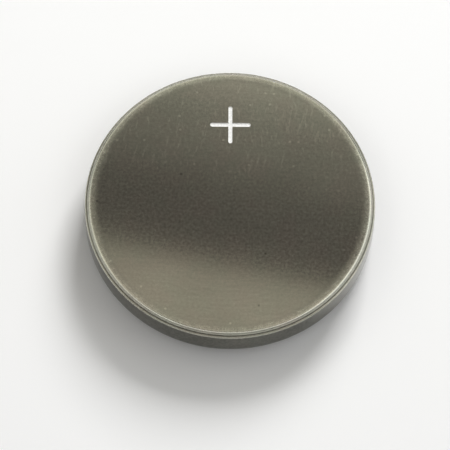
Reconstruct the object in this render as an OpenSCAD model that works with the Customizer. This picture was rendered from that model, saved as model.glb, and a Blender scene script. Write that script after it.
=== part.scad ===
// Lithium coin cell, 20 mm across and 3.2 mm high, lying with its positive face up.
// The origin is the middle of the negative contact face, and +Z points out of the positive face.
// Every piece is a revolve. A section is drawn with x as the radius and y as the height.

/* [Cell] */
// Diameter over the side wall
cell_d = 20.0; // [19.9:0.05:20.2]
// Height over both contact faces
cell_h = 3.2; // [2.9:0.05:3.4]

/* [Positive can] */
// Thickness of the can's sheet
can_t = 0.25; // [0.22:0.01:0.25]
// Rounding round the edge of the positive face
face_round = 0.26; // [0.26:0.01:0.28]
// Depth of the ledge below the positive face
step_drop = 0.32; // [0.32:0.01:0.36]
// Width of the ledge between the raised face and the side wall
step_w = 0.15; // [0.14:0.01:0.18]
// Rounding of the ridge where the ledge turns down into the side wall
ridge_round = 0.1; // [0.06:0.01:0.1]
// Rounding in the groove where the raised face meets the ledge
groove_round = 0.04; // [0.02:0.01:0.04]
// Outer rounding of the crimped foot
crimp_round = 0.85; // [0.75:0.01:0.9]
// How far the crimped lip reaches in from the side wall
lip_reach = 0.95; // [0.92:0.01:1.0]
// Height of the lip above the surface that the cell lies on
lip_rise = 0.25; // [0.2:0.01:0.25]

/* [Negative cap] */
// Thickness of the cap's sheet
cap_t = 0.25; // [0.22:0.01:0.25]
// Diameter of the flat contact face
contact_d = 16.0; // [15.8:0.05:16.0]
// Outer rounding from the contact face into the cap's riser
dish_round = 0.45; // [0.4:0.01:0.45]
// Length of the straight leaf that is folded back inside the skirt
hem_leaf = 0.9; // [0.5:0.05:1.0]
// Gap between the skirt and its folded leaf
hem_gap = 0.05; // [0.03:0.01:0.06]

/* [Gasket] */
// Thickness of the plastic between can and cap
gasket_t = 0.3; // [0.27:0.01:0.32]
// How far the plastic shows inside the crimped lip
bead_w = 0.2; // [0.1:0.01:0.2]
// Depth of the channel's inner wall along the hem
channel_wall = 0.65; // [0.4:0.05:1.0]

/* [Filling] */
// Diameter of the lithium disc
lithium_d = 15.6; // [15.0:0.1:15.8]
// Thickness of the lithium disc
lithium_t = 0.65; // [0.5:0.01:0.7]
// Thickness of the separator felt
felt_t = 0.15; // [0.1:0.01:0.15]
// Outer diameter of the separator's rim
felt_d = 16.5; // [16.4:0.1:16.6]
// Height of the separator's rim over its floor
felt_rim = 1.3; // [0.8:0.1:1.5]
// Outer diameter of the cathode ring
ring_d = 16.0; // [15.8:0.1:16.0]
// Thickness of the cathode ring's sheet
ring_t = 0.15; // [0.1:0.01:0.15]
// Height of the cathode ring along the pellet's side
ring_h = 1.1; // [0.8:0.1:1.3]
// Width of the cathode ring's flange, over its wall
ring_flange = 1.0; // [0.8:0.1:1.5]

/* [Hidden] */
$fn = 144;

// Rounding of cut and pressed edges
edge_round = 0.05;
// Rounding of the gasket's free edges
plastic_round = 0.1;

// Can: outer radii and heights, then those of the space inside it
wall_r = cell_d / 2;
face_r = wall_r - step_w;
ledge_z = cell_h - step_drop;
lip_r = wall_r - lip_reach;
room_r = wall_r - can_t;
room_low = lip_rise + can_t;
room_high = cell_h - can_t;

// Cap: the riser goes up from the contact face, and the shelf runs out from it under the crimp
riser_r = contact_d / 2 + dish_round;
shelf_z = room_low + gasket_t;
skirt_r = room_r - gasket_t;
shelf_corner = crimp_round - can_t - gasket_t;
shelf_round = shelf_z - dish_round;
hem_round = cap_t + hem_gap / 2;
hem_r = skirt_r - hem_round;
hem_z = room_high - gasket_t - hem_round;
leaf_r = hem_r - hem_round;

// Gasket: the channel that holds the hem, and the edge that shows inside the lip
channel_r = leaf_r - gasket_t;
bead_r = lip_r - bead_w;
bead_z = lip_rise + plastic_round;

// Filling: the stack that lies between the two plates
felt_z = cap_t + lithium_t;
pellet_z = felt_z + felt_t;
felt_r = felt_d / 2;
ring_r = ring_d / 2;
pellet_r = ring_r - ring_t;
flange_z = room_high - ring_t;

// Flat plate of the section between two radii and two heights
module plate(inner, outer, low, high) {
    translate([inner, low])
        square([outer - inner, high - low]);
}

// What a rounding takes off a corner, or a fillet puts in one.
// The corner is at r, z, and side and way say on which side and which way the shape reaches from it.
module corner(r, z, rounding, side, way) {
    translate([r, z])
        difference() {
            translate([min(0, side * rounding), min(0, way * rounding)])
                square(rounding);
            translate([side * rounding, way * rounding])
                circle(rounding);
        }
}

// Full outline of the can, without the space inside it
module can_outline() {
    difference() {
        union() {
            plate(0, wall_r, lip_rise, ledge_z);
            plate(0, face_r, ledge_z, cell_h);
        }
        corner(face_r, cell_h, face_round, -1, -1);
        corner(wall_r, ledge_z, ridge_round, -1, -1);
        corner(wall_r, lip_rise, crimp_round, -1, 1);
    }
    corner(face_r, ledge_z, groove_round, 1, 1);
}

// Space inside the can, one sheet thickness in from the outline
module can_room() {
    step_low = ledge_z - can_t;
    step_round = groove_round + can_t;
    difference() {
        union() {
            plate(0, room_r, room_low, step_low);
            plate(0, face_r - can_t, step_low, room_high);
        }
        corner(room_r, room_low, crimp_round - can_t, -1, 1);
    }
    // The sheet rounds over the inside of the step
    difference() {
        plate(face_r - can_t, room_r, step_low, ledge_z + groove_round);
        translate([face_r + groove_round, ledge_z + groove_round])
            circle(step_round);
    }
}

// Mouth that the crimped lip leaves open for the cap
module can_mouth() {
    plate(0, lip_r, lip_rise, room_low);
    corner(lip_r, lip_rise, edge_round, 1, 1);
}

// Drawn steel cup with a stepped shoulder, and its lip crimped in under the cap's shelf
module positive_can() {
    color([0.56, 0.55, 0.49])
        rotate_extrude()
            difference() {
                can_outline();
                can_room();
                can_mouth();
            }
}

// Outline of a dish that rises from the contact face to the shelf and turns up into the skirt.
// The inset is 0 for the sheet's outer side and the sheet's thickness for its inner side.
module cap_side(inset, high) {
    difference() {
        union() {
            plate(0, riser_r - inset, inset, shelf_z + inset);
            plate(0, skirt_r - inset, shelf_z + inset, high);
        }
        corner(riser_r - inset, inset, dish_round - inset, -1, 1);
        corner(skirt_r - inset, shelf_z + inset, max(shelf_corner - inset, edge_round), -1, 1);
    }
    corner(riser_r - inset, shelf_z + inset, shelf_round + inset, 1, -1);
}

// Upper edge of the skirt, folded back inside it
module cap_hem() {
    difference() {
        translate([hem_r, hem_z])
            circle(hem_round);
        translate([hem_r, hem_z])
            circle(hem_gap / 2);
        plate(leaf_r, skirt_r, hem_z - hem_round, hem_z);
    }
    difference() {
        plate(leaf_r, leaf_r + cap_t, hem_z - hem_leaf, hem_z);
        corner(leaf_r, hem_z - hem_leaf, edge_round, 1, 1);
        corner(leaf_r + cap_t, hem_z - hem_leaf, edge_round, -1, 1);
    }
}

// Drawn steel cap: contact face, riser, shelf under the crimp, skirt and hem
module negative_cap() {
    color([0.68, 0.68, 0.66])
        rotate_extrude() {
            difference() {
                cap_side(0, hem_z);
                cap_side(cap_t, cell_h);
            }
            cap_hem();
        }
}

// Plastic ring that fills the space between can and cap.
// It is a channel round the hem, a wall down the skirt and a flange under the crimped lip.
module gasket() {
    color([0.82, 0.83, 0.80])
        rotate_extrude() {
            difference() {
                can_room();
                plate(0, channel_r, room_low, cell_h);
                plate(0, bead_r, room_low, shelf_z);
                difference() {
                    plate(0, skirt_r, shelf_z, hem_z);
                    corner(skirt_r, shelf_z, shelf_corner, -1, 1);
                }
                translate([hem_r, hem_z])
                    circle(hem_round);
            }
            gasket_channel_wall();
            gasket_bead();
        }
}

// Inner wall of the channel, beside the folded leaf
module gasket_channel_wall() {
    low = hem_z - channel_wall;
    difference() {
        plate(channel_r, leaf_r, low, hem_z);
        corner(channel_r, low, plastic_round, 1, 1);
        corner(leaf_r, low, edge_round, -1, 1);
    }
}

// Edge of the flange that swells out beside the lip
module gasket_bead() {
    difference() {
        plate(bead_r, lip_r, bead_z, room_low);
        corner(bead_r, bead_z, plastic_round, 1, 1);
    }
}

// Metal disc pressed on the inside of the cap
module lithium_disc() {
    color([0.74, 0.75, 0.77])
        rotate_extrude()
            difference() {
                plate(0, lithium_d / 2, cap_t, felt_z);
                corner(lithium_d / 2, felt_z, edge_round, -1, -1);
            }
}

// Porous felt dish: its floor lies on the lithium and its rim stands round the cathode
module separator() {
    color([0.93, 0.92, 0.88])
        rotate_extrude()
            difference() {
                plate(0, felt_r, felt_z, pellet_z + felt_rim);
                corner(felt_r, felt_z, felt_t + edge_round, -1, 1);
                difference() {
                    plate(0, felt_r - felt_t, pellet_z, cell_h);
                    corner(felt_r - felt_t, pellet_z, edge_round, -1, 1);
                }
            }
}

// Pressed tablet, with a rebate round its top for the ring's flange
module cathode_pellet() {
    color([0.13, 0.13, 0.13])
        rotate_extrude()
            difference() {
                union() {
                    plate(0, pellet_r, pellet_z, flange_z);
                    plate(0, ring_r - ring_flange, flange_z, room_high);
                }
                corner(pellet_r, flange_z, edge_round, -1, -1);
                corner(pellet_r, pellet_z, edge_round, -1, 1);
            }
}

// Thin steel ring of L section: its wall grips the pellet and its flange lies on the can
module cathode_ring() {
    color([0.62, 0.63, 0.63])
        rotate_extrude()
            difference() {
                plate(ring_r - ring_flange, ring_r, room_high - ring_h, room_high);
                corner(ring_r, room_high, ring_t + edge_round, -1, -1);
                difference() {
                    plate(0, pellet_r, 0, flange_z);
                    corner(pellet_r, flange_z, edge_round, -1, -1);
                }
            }
}

positive_can();
gasket();
negative_cap();
lithium_disc();
separator();
cathode_pellet();
cathode_ring();
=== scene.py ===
from functools import partial, reduce
from math import atan2, cos, degrees, pi, radians, sin, sqrt

import bmesh
import bpy
from mathutils import Matrix, Vector
from mathutils.geometry import delaunay_2d_cdt

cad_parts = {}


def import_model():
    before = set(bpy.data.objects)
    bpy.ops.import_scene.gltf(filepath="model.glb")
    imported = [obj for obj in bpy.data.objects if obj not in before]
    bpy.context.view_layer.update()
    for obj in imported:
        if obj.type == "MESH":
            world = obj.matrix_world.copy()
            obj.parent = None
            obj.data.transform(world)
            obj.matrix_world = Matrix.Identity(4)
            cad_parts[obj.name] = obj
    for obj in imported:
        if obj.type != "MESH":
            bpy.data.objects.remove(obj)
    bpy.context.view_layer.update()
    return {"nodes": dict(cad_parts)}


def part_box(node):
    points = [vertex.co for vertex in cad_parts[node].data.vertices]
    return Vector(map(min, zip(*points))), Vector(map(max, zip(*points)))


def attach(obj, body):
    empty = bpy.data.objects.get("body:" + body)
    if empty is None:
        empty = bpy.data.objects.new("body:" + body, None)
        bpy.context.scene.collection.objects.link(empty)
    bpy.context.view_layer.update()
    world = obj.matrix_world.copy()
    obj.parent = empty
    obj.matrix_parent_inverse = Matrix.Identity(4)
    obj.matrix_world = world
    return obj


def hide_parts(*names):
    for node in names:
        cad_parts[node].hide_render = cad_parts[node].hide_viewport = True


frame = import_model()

# Lengths are in millimetres. Pieces, lamps and the camera are placed in metres.
MM = 0.001

# Can: the outer size comes from the frame, the rest repeats the solid
can_low, can_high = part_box("positive_can")
WALL_R = round(can_high.x / MM, 3)
CELL_H = round(can_high.z / MM, 3)
LIP_RISE = round(can_low.z / MM, 3)
SHEET = 0.25
FACE_ROUND = 0.26
STEP_DROP = 0.32
STEP_W = 0.15
RIDGE_ROUND = 0.1
GROOVE_ROUND = 0.04
CRIMP_ROUND = 0.85
LIP_REACH = 0.95
EDGE_ROUND = 0.05
FACE_R = WALL_R - STEP_W
LEDGE_Z = CELL_H - STEP_DROP
CEILING_Z = CELL_H - SHEET

# The face bends down by BEND_TURN degrees over a width of BEND_W before its edge rounds over.
# A flat band of width FLAT_BAND inside the bend keeps the rest of the face evenly shaded.
BEND_W = 0.34
BEND_TURN = 5.0
FLAT_BAND = 0.3

# Plus sign, etched in the positive face
ETCH_DEPTH = 0.04
ETCH_BEVEL = 0.03
STROKE_W = 0.28
PLUS_AT = (0.0, 5.85)
PLUS_REACH = 1.4

# Mesh: points round the can, the angle in degrees from which an edge stays sharp, the distance
# at which points merge, and the finish numbers of the can's faces
SEGMENTS = 360
SHARP_ANGLE = 35
MERGE = 1e-6
STEEL, ETCHED = 0, 1

# Camera: the picture is square, and the middle of the cell's height lies at CELL_AT in it
PICTURE_PX = 450
CELL_AT = (229.8, 211.5)
PX_PER_MM = 14.48
CAMERA_AWAY = 400.0
CAMERA_ELEVATION = 66.3
CAMERA_TURN = -1.1
CAMERA_ROLL = 1.5
SENSOR_W = 36.0

# Studio: the floor, and how far the key lamp and the windows stand from the cell
FLOOR_R = 2000.0
FLOOR_SEGMENTS = 96
KEY_AWAY = 600.0
WINDOW_AWAY = 500.0

# Tints of the lamps. The world has one colour at the horizon and another overhead, which is
# reached at the height OVERHEAD_FROM of a direction whose length is 1.
WHITE = (1, 1, 1)
COOL = (0.93, 0.97, 1)
GREENISH = (0.98, 1, 0.96)
CREAM = (1, 0.95, 0.8)
YELLOW = (1, 1, 0.86)
HORIZON = (0.12, 0.12, 0.116, 1)
OVERHEAD = (0.088, 0.08, 0.077, 1)
OVERHEAD_FROM = 0.8


class Shell:
    """Points and faces of one piece in millimetres, with a finish number for each face."""

    def __init__(self):
        self.points = []
        self.faces = []
        self.finishes = []

    def add(self, points):
        """Adds points and returns their numbers."""
        first = len(self.points)
        self.points += points
        return list(range(first, len(self.points)))

    def face(self, corners, finish=STEEL):
        """Adds a face on points that have been added."""
        self.faces.append(corners)
        self.finishes.append(finish)

    def band(self, one, other, finish=STEEL):
        """Joins two closed loops of the same length by a band of quads."""
        for i in range(len(one)):
            j = (i + 1) % len(one)
            self.face([one[i], one[j], other[j], other[i]], finish)

    def piece(self, name, finishes):
        """The finished object: closed, smooth, with sharp edges where the form has them."""
        mesh = bpy.data.meshes.new(name)
        mesh.from_pydata([Vector(p) * MM for p in self.points], [], self.faces)
        for finish in finishes:
            mesh.materials.append(finish)
        mesh.polygons.foreach_set("material_index", self.finishes)
        form = bmesh.new()
        form.from_mesh(mesh)
        bmesh.ops.recalc_face_normals(form, faces=form.faces)
        form.to_mesh(mesh)
        form.free()
        mesh.shade_smooth()
        mesh.set_sharp_from_angle(angle=radians(SHARP_ANGLE))
        made = bpy.data.objects.new(name, mesh)
        bpy.context.scene.collection.objects.link(made)
        weighted = made.modifiers.new("flat_faces_lead", "WEIGHTED_NORMAL")
        weighted.keep_sharp = True
        return made


def arc(x, y, radius, start, end, steps=10):
    """Points of an arc round x, y, from one angle in degrees to the other."""
    turns = [radians(start + (end - start) * i / steps) for i in range(steps + 1)]
    return [(x + radius * cos(t), y + radius * sin(t)) for t in turns]


def face_edge():
    """Section of the face's edge: the gentle bend, and the rounding that takes over from it."""
    turn = radians(BEND_TURN)
    bend = BEND_W / sin(turn) + FACE_ROUND
    round_r = FACE_R - FACE_ROUND
    round_z = CELL_H - bend + (bend - FACE_ROUND) * cos(turn)
    bend_r = round_r - BEND_W
    return (
        [(bend_r - FLAT_BAND, CELL_H)]
        + arc(bend_r, CELL_H - bend, bend, 90, 90 - BEND_TURN, steps=8)[:-1]
        + arc(round_r, round_z, FACE_ROUND, 90 - BEND_TURN, 0, steps=16)
    )


def can_profile():
    """Section of the can as radius and height, from the edge of the face round to the ceiling."""
    groove = (FACE_R + GROOVE_ROUND, LEDGE_Z + GROOVE_ROUND)
    ridge = (WALL_R - RIDGE_ROUND, LEDGE_Z - RIDGE_ROUND)
    crimp = (WALL_R - CRIMP_ROUND, LIP_RISE + CRIMP_ROUND)
    lip_r = WALL_R - LIP_REACH
    lip = (lip_r + EDGE_ROUND, LIP_RISE + EDGE_ROUND)
    # The step's rounding on the inside starts where it meets the wall
    step_round = GROOVE_ROUND + SHEET
    beside = WALL_R - SHEET - groove[0]
    under = sqrt(step_round**2 - beside**2)
    return (
        face_edge()
        + arc(*groove, GROOVE_ROUND, 180, 270, steps=6)
        + arc(*ridge, RIDGE_ROUND, 90, 0)
        + arc(*crimp, CRIMP_ROUND, 0, -90, steps=20)
        + arc(*lip, EDGE_ROUND, -90, -180, steps=6)
        + [(lip_r, LIP_RISE + SHEET)]
        + arc(*crimp, CRIMP_ROUND - SHEET, -90, 0, steps=16)
        + arc(*groove, step_round, degrees(atan2(-under, beside)), -180)
        + [(FACE_R - SHEET, CEILING_Z)]
    )


def plus_outline(x, y, reach, half_w):
    """Outline of a plus with round ends: four arms, and the inner corner after each."""
    points = []
    for arm in range(4):
        turn = Matrix.Rotation(arm * pi / 2, 2)
        end = arc(reach - half_w, 0, half_w, -90, 90, steps=8)
        points += [turn @ Vector(p) for p in end + [(half_w, half_w)]]
    return [(x + p.x, y + p.y) for p in points]


def close_face(shell, edge, outline):
    """Closes the ring edge with the flat face, in which the outline is a shallow recess.

    outline is a function of a half width, so that the bottom can be narrower than the mouth.
    """
    ring = shell.add([(x, y, CELL_H) for x, y in outline(STROKE_W / 2)])
    narrow = outline(STROKE_W / 2 - ETCH_BEVEL)
    bottom = shell.add([(x, y, CELL_H - ETCH_DEPTH) for x, y in narrow])
    shell.band(ring, bottom, ETCHED)
    below = dict(zip(ring, bottom))
    numbers = edge + ring
    flat = [Vector(shell.points[i][:2]) for i in numbers]
    loops = [list(range(len(edge))), list(range(len(edge), len(numbers)))]
    only_inside = 1
    found = delaunay_2d_cdt(flat, [], loops, only_inside, MERGE)
    _, _, triangles, sources, _, inside = found
    for triangle, loops_round in zip(triangles, inside):
        corners = [numbers[sources[i][0]] for i in triangle]
        if len(loops_round) == 1:
            shell.face(corners)
        else:
            shell.face([below[i] for i in corners], ETCHED)


def make_can(finishes):
    """The can with its etched plus. It keeps the solid's form and stands for it."""
    shell = Shell()
    angles = [2 * pi * i / SEGMENTS for i in range(SEGMENTS)]
    rings = [shell.add([(r * cos(a), r * sin(a), z) for a in angles]) for r, z in can_profile()]
    for one, other in zip(rings, rings[1:]):
        shell.band(one, other)
    axis = shell.add([(0, 0, CEILING_Z)])[0]
    for i, corner in enumerate(rings[-1]):
        shell.face([corner, rings[-1][(i + 1) % SEGMENTS], axis])
    close_face(shell, rings[0], partial(plus_outline, *PLUS_AT, PLUS_REACH))
    can = shell.piece("can_with_marks", finishes)
    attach(can, "root")
    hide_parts("positive_can")


class Finish:
    """A procedural material on the Principled shader. Its patterns are laid out in millimetres."""

    def __init__(self, name, colour, **sockets):
        self.material = bpy.data.materials.new(name)
        self.material.use_nodes = True
        self.tree = self.material.node_tree
        self.shader = self.tree.nodes["Principled BSDF"]
        self.colour = colour
        self.shader.inputs["Base Color"].default_value = (*colour, 1)
        for socket, value in sockets.items():
            self.shader.inputs[socket.replace("_", " ")].default_value = value
        self.place = self.node("TexCoord").outputs["Object"]

    def node(self, kind, inputs=None, **settings):
        """A shader node. An input is linked if it is a node's output, and set if it is a value."""
        made = self.tree.nodes.new("ShaderNode" + kind)
        for setting, value in settings.items():
            setattr(made, setting, value)
        for socket, value in (inputs or {}).items():
            if isinstance(value, bpy.types.NodeSocket):
                self.tree.links.new(value, made.inputs[socket])
            else:
                made.inputs[socket].default_value = value
        return made

    def math(self, operation, *values):
        """The result of a sum, product or other operation on values."""
        return self.node("Math", dict(enumerate(values)), operation=operation).outputs[0]

    def total(self, *values):
        """The sum of several values."""
        return reduce(partial(self.math, "ADD"), values)

    def product(self, *values):
        """The product of several values."""
        return reduce(partial(self.math, "MULTIPLY"), values)

    def grid(self, stretch=(1, 1, 1), turn=0):
        """Places in millimetres, turned about the cell's axis and then stretched."""
        turned = self.node("Mapping", {0: self.place, "Rotation": (0, 0, radians(turn))})
        scale = [s / MM for s in stretch]
        return self.node("Mapping", {0: turned.outputs[0], "Scale": scale}).outputs[0]

    def along(self, axis):
        """Place along the axis X, Y or Z in millimetres. Z is the height over the floor."""
        return self.node("SeparateXYZ", {0: self.grid()}).outputs[axis]

    def radius(self):
        """Distance from the cell's axis in millimetres."""
        flat = self.grid((1, 1, 0))
        return self.node("VectorMath", {0: flat}, operation="LENGTH").outputs["Value"]

    def noise(self, per_mm, detail=2, rough=0.5, stretch=(1, 1, 1), turn=0):
        """Noise from 0 to 1, with about per_mm spots in a millimetre."""
        return self.spread(self.grid(stretch, turn), per_mm, detail, rough)

    def turned_lines(self, per_mm, detail=2, rough=0.5):
        """Noise that keeps its value all the way round the cell, as marks of turning do."""
        section = self.node("CombineXYZ", {0: self.radius(), 1: self.along("Z")}).outputs[0]
        return self.spread(section, per_mm, detail, rough)

    def spread(self, places, per_mm, detail, rough):
        """Noise from 0 to 1 over places in millimetres."""
        inputs = {"Vector": places, "Scale": per_mm, "Detail": detail, "Roughness": rough}
        return self.node("TexNoise", inputs).outputs[0]

    def near(self, r, z, inner, outer, squash=1.0):
        """1 within inner mm of a circle round the cell's axis, fading to 0 at outer mm.

        With squash below 1 it reaches further up and down than sideways.
        """
        height = self.product(self.along("Z"), squash)
        section = self.node("CombineXYZ", {0: self.radius(), 1: height}).outputs[0]
        middle = (r, z * squash, 0)
        away = self.node("VectorMath", {0: section, 1: middle}, operation="DISTANCE")
        return self.fade(away.outputs["Value"], full=inner, gone=outer)

    def dots(self, per_mm, pick, size):
        """Dots in the cells whose random tone is below pick: 1 in the middle, 0 from size mm."""
        inputs = {"Vector": self.grid(), "Scale": per_mm}
        cells = self.node("TexVoronoi", inputs, voronoi_dimensions="2D")
        chosen = self.math("LESS_THAN", cells.outputs["Color"], pick)
        reach = size * per_mm
        close = self.fade(cells.outputs["Distance"], full=reach / 2, gone=reach)
        return self.product(chosen, close)

    def remap(self, value, low, high, to_low, to_high):
        """Maps low to high onto to_low to to_high with soft ends, and holds it there."""
        inputs = {0: value, 1: low, 2: high, 3: to_low, 4: to_high}
        return self.node("MapRange", inputs, interpolation_type="SMOOTHSTEP").outputs[0]

    def fade(self, value, full, gone):
        """1 on full's side of the range between full and gone, 0 on gone's side, soft between."""
        if full < gone:
            return self.remap(value, full, gone, 1.0, 0.0)
        return self.remap(value, gone, full, 0.0, 1.0)

    def tone(self, value, shift=None, share=None):
        """Makes the base colour follow a value round 1, and moves its hue by a share of shift."""
        colour = self.colour
        if shift:
            inputs = {0: share, 1: shift, 2: colour}
            colour = self.node("VectorMath", inputs, operation="MULTIPLY_ADD").outputs[0]
        scaled = self.node("VectorMath", {0: colour, "Scale": value}, operation="SCALE")
        self.tree.links.new(scaled.outputs[0], self.shader.inputs["Base Color"])

    def rough(self, value):
        """Makes the roughness follow a value."""
        self.tree.links.new(value, self.shader.inputs["Roughness"])

    def bumps(self, *layers):
        """Lays one bump after another. A layer is a height from 0 to 1 and its depth in mm."""
        under = None
        for height, depth in layers:
            inputs = {"Height": height, "Distance": depth * MM}
            if under:
                inputs["Normal"] = under
            under = self.node("Bump", inputs).outputs[0]
        self.tree.links.new(under, self.shader.inputs["Normal"])


def sheet_tone(steel, grain):
    """Tone of rolled sheet: its grain, wide clouds, hairlines and faint turned lines."""
    cloud = steel.noise(0.16)
    hairlines = steel.noise(1.0, 3, 0.6, stretch=(0.25, 8.0, 1.0), turn=3)
    return steel.total(
        0.98,
        steel.remap(grain, 0.25, 0.75, -0.07, 0.08),
        steel.remap(cloud, 0.3, 0.7, -0.04, 0.05),
        steel.remap(hairlines, 0.4, 0.7, -0.02, 0.03),
        steel.remap(steel.turned_lines(5.0), 0.3, 0.7, -0.02, 0.02),
    )


def wear_tone(steel, inward, top):
    """Tone of wear on the top: pits, and fine scratches and light specks where it is handled.

    inward is the distance in from the face's outer edge. The specks are near that edge too.
    """
    handled = steel.product(steel.remap(steel.along("Y"), -1.0, 5.0, 0.15, 1.0), top)
    rubbed = steel.product(steel.fade(inward, full=0.95, gone=1.55), top)
    scratches = steel.math(
        "MAXIMUM",
        steel.noise(1.0, stretch=(5.0, 0.7, 1.0), turn=14),
        steel.noise(1.0, stretch=(6.0, 1.1, 1.0), turn=-7),
    )
    specks = steel.dots(per_mm=1.1, pick=0.25, size=0.11)
    pits = steel.dots(per_mm=0.5, pick=0.14, size=0.11)
    return steel.total(
        steel.product(steel.remap(scratches, 0.58, 0.78, 0.0, 0.26), handled),
        steel.product(specks, 0.35, steel.math("MAXIMUM", handled, rubbed)),
        steel.product(pits, -0.35, top),
    )


def painted_wall_shade(steel, inward):
    """How far the side wall's painted shade shows: it darkens the wall to stand in for the dark
    surroundings it mirrors. It weakens under the crimp.
    """
    below_ridge = steel.fade(steel.along("Z"), full=LEDGE_Z - 0.12, gone=LEDGE_Z - 0.04)
    return steel.product(below_ridge, steel.remap(inward, 0.0, 0.45, 1.0, 0.3))


def can_steel():
    """Dull rolled steel with marks of wear; its edge is mottled and lightened partly by burnishing
    and partly by painted highlight, its step holds painted shade, and its side wall is darkened by
    painted shade.
    """
    steel = Finish("can_steel_rolled", (0.60, 0.59, 0.50), Metallic=1.0)
    inward = steel.math("SUBTRACT", FACE_R, steel.radius())
    top = steel.fade(steel.along("Z"), full=LEDGE_Z + 0.17, gone=LEDGE_Z + 0.07)
    grain = steel.noise(5.0, 3, 0.6)
    # Drawing over the die left a rougher, orange-peeled band just inside the edge, and burnished
    # its rounding. The band's lighter mottles are painted highlight specks, and the rounding is
    # lightened partly as a painted highlight.
    drawn = steel.product(
        steel.fade(inward, full=0.4, gone=0.85), steel.fade(inward, full=0.3, gone=0.15), top
    )
    # Painted highlight: lighter mottles in the band stand in for specks of reflected light.
    highlight_mottle = steel.product(steel.noise(3.5, 2, 0.6), drawn)
    orange_peel = steel.product(steel.noise(4.0, 2, 0.6), drawn)
    # The rounding's lighter tone is partly burnishing and partly a painted highlight.
    burnish_and_highlight = steel.product(steel.fade(inward, full=0.17, gone=0.35), top)
    # Painted shade: the step and the lower half of the face's rounding are darkened where shade
    # falls and dark surroundings are mirrored; the same mask also roughens them.
    painted_step_shade = steel.near(FACE_R - 0.055, LEDGE_Z + 0.12, inner=0.09, outer=0.155, squash=0.7)
    tone = steel.total(
        sheet_tone(steel, grain),
        wear_tone(steel, inward, top),
        steel.remap(highlight_mottle, 0.4, 0.7, 0.0, 0.25),
        steel.product(burnish_and_highlight, 0.6),
        # Painted shade: the side wall is darkened as if it mirrored dark surroundings.
        steel.product(painted_wall_shade(steel, inward), -0.69),
        steel.product(painted_step_shade, -0.7),
    )
    ruddy = (0.018, -0.008, 0.0)
    blotches = steel.remap(steel.noise(0.45, 2, 0.6), 0.35, 0.65, -0.35, 0.55)
    steel.tone(tone, ruddy, blotches)
    steel.rough(
        steel.total(
            steel.remap(grain, 0.3, 0.7, 0.13, 0.165),
            steel.product(drawn, 0.12),
            steel.product(burnish_and_highlight, 0.07),
            steel.product(painted_step_shade, 0.3),
        )
    )
    steel.bumps((grain, 0.0004), (orange_peel, 0.004))
    return steel.material


def etched_mark():
    """Frosted bottom of an etched mark, dotted by the tool that cut it."""
    frost = Finish("etched_frost", (0.93, 0.93, 0.91), Metallic=0.0, Roughness=0.6)
    dots = frost.noise(6.0, 2, 0.6)
    frost.tone(frost.remap(dots, 0.35, 0.65, 0.89, 1.04))
    frost.bumps((dots, 0.01))
    return frost.material


def cap_steel():
    """Satin steel of the cap, with faint lines of the drawing tool."""
    steel = Finish("cap_steel_satin", (0.66, 0.66, 0.63), Metallic=1.0)
    grain = steel.noise(6.0, 3, 0.6)
    lines = steel.turned_lines(7.0, 3)
    specks = steel.dots(per_mm=1.3, pick=0.1, size=0.06)
    steel.tone(
        steel.total(
            steel.remap(grain, 0.25, 0.75, 0.93, 1.03),
            steel.remap(lines, 0.3, 0.7, -0.02, 0.02),
            steel.product(specks, -0.25),
        )
    )
    steel.rough(steel.remap(lines, 0.3, 0.7, 0.27, 0.31))
    steel.bumps((lines, 0.0002), (grain, 0.0004))
    return steel.material


def gasket_plastic():
    """Natural moulded polypropylene: milky, a little see-through, faintly flow marked."""
    plastic = Finish(
        "gasket_polypropylene", (0.80, 0.81, 0.78), Subsurface_Weight=0.3, Subsurface_Scale=0.0004
    )
    flow = plastic.noise(0.8, 3)
    skin = plastic.noise(7.0)
    plastic.tone(plastic.remap(flow, 0.3, 0.7, 0.94, 1.04))
    plastic.rough(plastic.remap(skin, 0.3, 0.7, 0.36, 0.5))
    plastic.bumps((flow, 0.004), (skin, 0.001))
    return plastic.material


def lithium_metal():
    """Soft rolled metal that has dulled in patches."""
    metal = Finish("lithium_rolled", (0.72, 0.73, 0.76), Metallic=0.9)
    patches = metal.noise(0.35, 4, 0.65)
    rolled = metal.noise(1.0, stretch=(5.0, 0.2, 1.0))
    metal.tone(
        metal.total(
            metal.remap(patches, 0.4, 0.65, 0.72, 0.98),
            metal.remap(rolled, 0.3, 0.7, -0.04, 0.05),
        )
    )
    metal.rough(metal.remap(patches, 0.4, 0.65, 0.62, 0.42))
    metal.bumps((patches, 0.01), (rolled, 0.002))
    return metal.material


def separator_felt():
    """White felt of fine fibres that lie in all directions."""
    felt = Finish("separator_fibres", (0.92, 0.91, 0.87), Roughness=0.95, Sheen_Weight=0.2)
    turns = (0, 45, 90, 135)
    fibres = [felt.noise(1.0, 3, 0.6, stretch=(14.0, 1.2, 6.0), turn=turn) for turn in turns]
    mat = felt.product(felt.total(*fibres), 1 / len(turns))
    felt.tone(felt.remap(mat, 0.4, 0.6, 0.84, 1.03))
    felt.bumps((mat, 0.03))
    return felt.material


def pellet_powder():
    """Pressed black powder with a few bright grains of graphite."""
    powder = Finish("pellet_pressed", (0.06, 0.06, 0.06))
    grains = powder.noise(9.0, 3, 0.7)
    graphite = powder.dots(per_mm=3.0, pick=0.2, size=0.05)
    powder.tone(
        powder.total(
            powder.remap(grains, 0.3, 0.7, 0.7, 1.3),
            powder.product(graphite, 2.0),
        )
    )
    powder.rough(powder.remap(grains, 0.3, 0.7, 0.8, 0.6))
    powder.bumps((grains, 0.012))
    return powder.material


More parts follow.
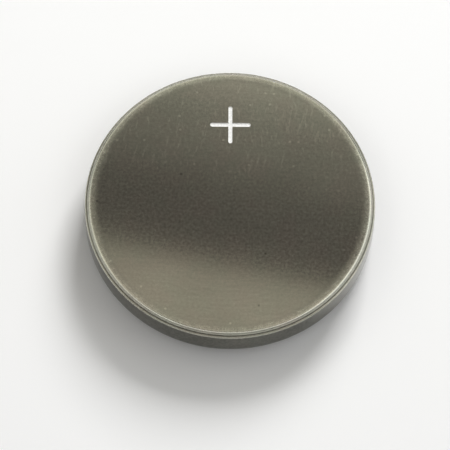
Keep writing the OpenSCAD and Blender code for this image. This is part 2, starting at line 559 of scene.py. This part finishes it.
def ring_steel():
    """Bright pressed strip, with fine lines round it."""
    steel = Finish("ring_steel_bright", (0.60, 0.61, 0.61), Metallic=1.0)
    lines = steel.turned_lines(16.0, 3)
    grain = steel.noise(5.0)
    steel.tone(
        steel.total(
            steel.remap(lines, 0.3, 0.7, 0.92, 1.0),
            steel.remap(grain, 0.3, 0.7, 0.0, 0.06),
        )
    )
    steel.rough(steel.remap(lines, 0.3, 0.7, 0.22, 0.34))
    steel.bumps((lines, 0.0008))
    return steel.material


def dress(node, material):
    """Gives a solid of the frame its finish. Its mesh stays as it is."""
    slot = frame["nodes"][node].material_slots[0]
    slot.link = "OBJECT"
    slot.material = material


def camera():
    """The photo's view: its angle, its distance and its framing."""
    lens = bpy.data.cameras.new("camera")
    lens.sensor_width = SENSOR_W
    lens.lens = PX_PER_MM * CAMERA_AWAY / PICTURE_PX * SENSOR_W
    lens.shift_x = (PICTURE_PX / 2 - CELL_AT[0]) / PICTURE_PX
    lens.shift_y = (CELL_AT[1] - PICTURE_PX / 2) / PICTURE_PX
    made = bpy.data.objects.new("camera", lens)
    tilt = Matrix.Rotation(radians(90 - CAMERA_ELEVATION), 4, "X")
    turn = Matrix.Rotation(radians(CAMERA_TURN), 4, "Z")
    roll = Matrix.Rotation(radians(CAMERA_ROLL), 4, "Z")
    middle = Matrix.Translation((0, 0, CELL_H / 2 * MM))
    away = Matrix.Translation((0, 0, CAMERA_AWAY * MM))
    made.matrix_world = middle @ turn @ tilt @ away @ roll
    bpy.context.scene.collection.objects.link(made)
    bpy.context.scene.camera = made


def panel(name, place, aim, size, radiance, tint=WHITE, turn=0):
    """A soft panel lamp. place and aim are in millimetres, and radiance 1 shows as white."""
    lamp = bpy.data.lights.new(name, "AREA")
    lamp.shape = "RECTANGLE"
    lamp.size = size[0] * MM
    lamp.size_y = size[1] * MM
    lamp.color = tint
    lamp.energy = radiance * pi * lamp.size * lamp.size_y
    made = bpy.data.objects.new(name, lamp)
    toward = (Vector(aim) - Vector(place)).to_track_quat("-Z", "Y").to_matrix().to_4x4()
    spin = Matrix.Rotation(radians(turn), 4, "Z")
    made.matrix_world = Matrix.Translation(Vector(place) * MM) @ toward @ spin
    made.visible_camera = False
    bpy.context.scene.collection.objects.link(made)
    return made


def stand(name, azimuth, elevation, size, radiance, tint=WHITE, away=WINDOW_AWAY):
    """A panel that faces the cell: azimuth 0 is behind it and 90 to its right, in degrees."""
    a, e = radians(azimuth), radians(elevation)
    place = (away * sin(a) * cos(e), away * cos(a) * cos(e), away * sin(e))
    return panel(name, place, (0, 0, CELL_H), size, radiance, tint)


def card(name, x, y, over, size, radiance, tint, turn):
    """A level panel over the place x, y, which hangs over mm above the face."""
    return panel(name, (x, y, CELL_H + over), (x, y, 0), size, radiance, tint, turn)


def lights():
    """A soft studio: a key lamp, wide dim windows all round, and cards that the face mirrors."""
    key = stand("key", 20, 30, (260, 240), 18.5, away=KEY_AWAY)
    # Steel would mirror the small bright key as one hard spot
    key.visible_glossy = False
    stand("window_right", 84, 43, (620, 450), 0.66, COOL)
    stand("window_back", 0, 28, (560, 300), 0.35)
    stand("strip_right", 85, 14, (480, 90), 1.1, COOL)
    stand("window_left", -90, 43, (700, 450), 0.41, GREENISH)
    stand("strip_left", -85, 14, (480, 90), 0.7)
    stand("window_front", 180, 53, (600, 340), 0.54)
    card("card_low", -2.2, 0.1, 32, (60, 18), 0.305, CREAM, turn=-12.5)
    card("card_mid", 4, 34.4, 65, (120, 8), 0.108, YELLOW, turn=-13)
    card("card_high", 4, 59, 65, (120, 40), 0.43, YELLOW, turn=-13)


def world():
    """Dim surroundings, lighter toward the horizon."""
    made = bpy.data.worlds.new("studio")
    bpy.context.scene.world = made
    made.use_nodes = True
    nodes, links = made.node_tree.nodes, made.node_tree.links
    place = nodes.new("ShaderNodeTexCoord")
    split = nodes.new("ShaderNodeSeparateXYZ")
    climb = nodes.new("ShaderNodeMapRange")
    climb.inputs["From Max"].default_value = OVERHEAD_FROM
    climb.interpolation_type = "SMOOTHSTEP"
    blend = nodes.new("ShaderNodeMix")
    blend.data_type = "RGBA"
    blend.inputs["A"].default_value = HORIZON
    blend.inputs["B"].default_value = OVERHEAD
    links.new(place.outputs["Generated"], split.inputs[0])
    links.new(split.outputs["Z"], climb.inputs["Value"])
    links.new(climb.outputs[0], blend.inputs["Factor"])
    links.new(blend.outputs["Result"], nodes["Background"].inputs["Color"])


def floor():
    """A wide pale floor that the cell lies on."""
    form = bmesh.new()
    bmesh.ops.create_circle(form, cap_ends=True, segments=FLOOR_SEGMENTS, radius=FLOOR_R * MM)
    mesh = bpy.data.meshes.new("floor")
    form.to_mesh(mesh)
    form.free()
    made = bpy.data.objects.new("floor", mesh)
    bpy.context.scene.collection.objects.link(made)
    paper = Finish("floor_paper", (0.96, 0.96, 0.96), Roughness=1.0, Specular_IOR_Level=0.0)
    mesh.materials.append(paper.material)


make_can([can_steel(), etched_mark()])
dress("negative_cap", cap_steel())
dress("gasket", gasket_plastic())
dress("lithium_disc", lithium_metal())
dress("separator", separator_felt())
dress("cathode_pellet", pellet_powder())
dress("cathode_ring", ring_steel())
floor()
lights()
world()
camera()
bpy.context.scene.view_settings.view_transform = "Standard"
